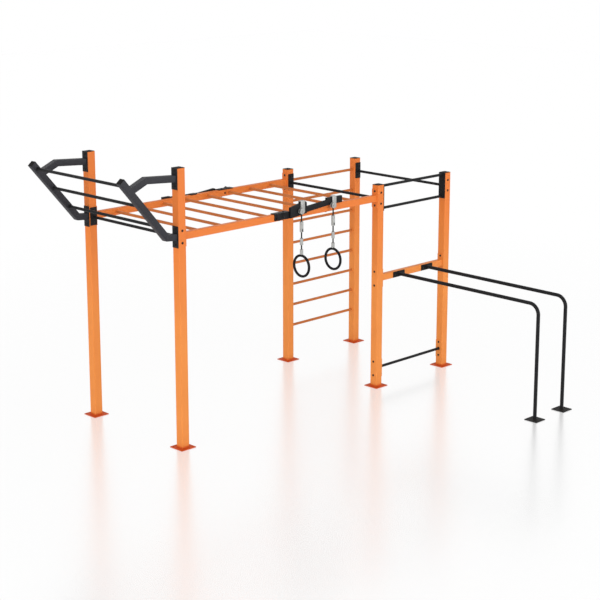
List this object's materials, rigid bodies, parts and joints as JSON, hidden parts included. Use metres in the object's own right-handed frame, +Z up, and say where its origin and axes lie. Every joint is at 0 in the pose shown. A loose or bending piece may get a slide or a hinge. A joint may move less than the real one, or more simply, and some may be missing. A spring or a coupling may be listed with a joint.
{
  "type": "outdoor fitness station",
  "caption": "Outdoor calisthenics frame of square posts with an overhead ladder, wall bars, pull-up bars, dip bars, an inclined grip ladder and hanging rings.",
  "frame": {"origin": "middle of the footprint on the ground, under the centre of the overall box", "axes": "+X along the overhead ladder from the tall posts to the short posts, +Y from the dip bars to the wall bars, +Z up"},
  "size_m": [5.2014, 3.855, 3.075],
  "materials": {
    "orange_paint": "semi-gloss powder coat",
    "charcoal_paint": "satin powder coat",
    "black_paint": "satin powder coat",
    "galvanised_steel": "matt zinc",
    "bolt_steel": "dark, dull",
    "ring_plastic": "matt, fine grained",
    "black_plastic": "matt"
  },
  "bodies": {
    "station": {"arm_plugs": "black_plastic", "bearing_pin_left": "galvanised_steel", "bearing_pin_right": "galvanised_steel", "carrier_arm_back": "black_paint", "carrier_arm_front": "black_paint", "carrier_bolts": "bolt_steel", "carrier_clamp_back": "black_paint", "carrier_clamp_front": "black_paint", "carrier_housing_back": "black_paint", "carrier_housing_front": "black_paint", "dip_bar_left": "black_paint", "dip_bar_right": "black_paint", "dip_crossbeam": "orange_paint", "dip_plate_bolts": "bolt_steel", "dip_plate_left": "black_paint", "dip_plate_nuts": "bolt_steel", "dip_plate_right": "black_paint", "double_pull_up_bar": "black_paint", "foot_bar_plates": "orange_paint", "grip_arm_back": "charcoal_paint", "grip_arm_front": "charcoal_paint", "grip_rod_1": "black_paint", "grip_rod_2": "black_paint", "grip_rod_3": "black_paint", "hanger_strap_left": "galvanised_steel", "hanger_strap_right": "galvanised_steel", "ladder_beam_back": "orange_paint", "ladder_beam_front": "orange_paint", "ladder_rungs": "orange_paint", "low_foot_bar": "black_paint", "post_caps": "black_plastic", "post_left_back": "orange_paint", "post_left_front": "orange_paint", "post_middle_back": "orange_paint", "post_middle_front": "orange_paint", "post_right_back": "orange_paint", "post_right_front": "orange_paint", "pull_up_bar_left": "black_paint", "pull_up_bar_middle": "black_paint", "pull_up_bar_right": "black_paint", "strap_screws": "galvanised_steel", "through_bolts": "bolt_steel", "through_nuts": "bolt_steel", "wall_bars": "orange_paint"},
    "upper_hanger_left": {"upper_rod_left": "black_paint", "fork_sleeve_left": "galvanised_steel", "fork_pin_left": "galvanised_steel"},
    "middle_hanger_left": {"middle_rod_left": "black_paint", "swivel_sleeve_left": "galvanised_steel"},
    "ring_unit_left": {"lower_rod_left": "black_paint", "ring_clamp_left": "galvanised_steel", "ring_left": "ring_plastic"},
    "upper_hanger_right": {"upper_rod_right": "black_paint", "fork_sleeve_right": "galvanised_steel", "fork_pin_right": "galvanised_steel"},
    "middle_hanger_right": {"middle_rod_right": "black_paint", "swivel_sleeve_right": "galvanised_steel"},
    "ring_unit_right": {"lower_rod_right": "black_paint", "ring_clamp_right": "galvanised_steel", "ring_right": "ring_plastic"}
  },
  "joints": [
    {"name": "side_swing_left", "type": "hinge", "parent": "station", "child": "upper_hanger_left", "pos_m": [-0.09206, 0.2035, 2.376], "axis": [0, 1, 0], "range_deg": [-30, 30]},
    {"name": "swing_left", "type": "hinge", "parent": "upper_hanger_left", "child": "middle_hanger_left", "pos_m": [-0.09206, 0.2035, 2.157], "axis": [1, 0, 0], "range_deg": [-70, 70]},
    {"name": "ring_swivel_left", "type": "hinge", "parent": "middle_hanger_left", "child": "ring_unit_left", "pos_m": [-0.09206, 0.2035, 1.988], "axis": [0, 0, 1], "continuous": true},
    {"name": "side_swing_right", "type": "hinge", "parent": "station", "child": "upper_hanger_right", "pos_m": [0.41794, 0.2035, 2.376], "axis": [0, 1, 0], "range_deg": [-30, 30]},
    {"name": "swing_right", "type": "hinge", "parent": "upper_hanger_right", "child": "middle_hanger_right", "pos_m": [0.41794, 0.2035, 2.157], "axis": [1, 0, 0], "range_deg": [-70, 70]},
    {"name": "ring_swivel_right", "type": "hinge", "parent": "middle_hanger_right", "child": "ring_unit_right", "pos_m": [0.41794, 0.2035, 1.988], "axis": [0, 0, 1], "continuous": true}
  ]
}
